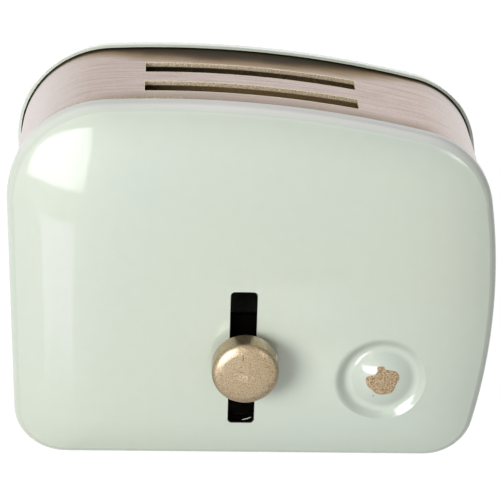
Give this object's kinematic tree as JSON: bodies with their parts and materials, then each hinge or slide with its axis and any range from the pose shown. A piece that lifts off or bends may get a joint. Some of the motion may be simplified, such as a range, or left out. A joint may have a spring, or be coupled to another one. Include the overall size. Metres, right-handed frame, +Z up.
{
  "type": "toy toaster",
  "caption": "Small pressed-metal toy toaster for a doll's house: mint shells on a gold band with bread slots, and a front lever that raises the bread tray.",
  "frame": {"origin": "bottom centre of the whole object's box, on the surface that the toy stands on", "axes": "+Z up, the front face with lever and dial faces -Y, +X to the right seen from the front"},
  "size_m": [0.05, 0.0242, 0.04],
  "materials": {
    "mint_enamel": "gloss",
    "champagne_paint": "brushed satin, faintly metallic",
    "dull_gold": "dull overspray",
    "knob_gold": "fine metallic satin",
    "black_enamel": "gloss",
    "bright_steel": "plain",
    "black_nylon": "matt"
  },
  "bodies": {
    "case": {"front_shell": "mint_enamel", "rear_shell": "mint_enamel", "centre_band": "champagne_paint", "base_plate": "champagne_paint", "base_rivets": "bright_steel", "guide_bracket": "black_enamel", "bracket_rivets": "bright_steel", "front_slot_liner": "dull_gold", "rear_slot_liner": "dull_gold"},
    "lever": {"lever_knob": "knob_gold", "lever_stem": "bright_steel", "face_washer": "black_nylon", "bread_lift": "black_enamel", "friction_spring": "bright_steel", "stem_nut": "bright_steel"}
  },
  "joints": [
    {"name": "lever_slide", "type": "slide", "parent": "case", "child": "lever", "axis": [0, 0, 1], "range_m": [-0.0064, 0.0064]}
  ]
}
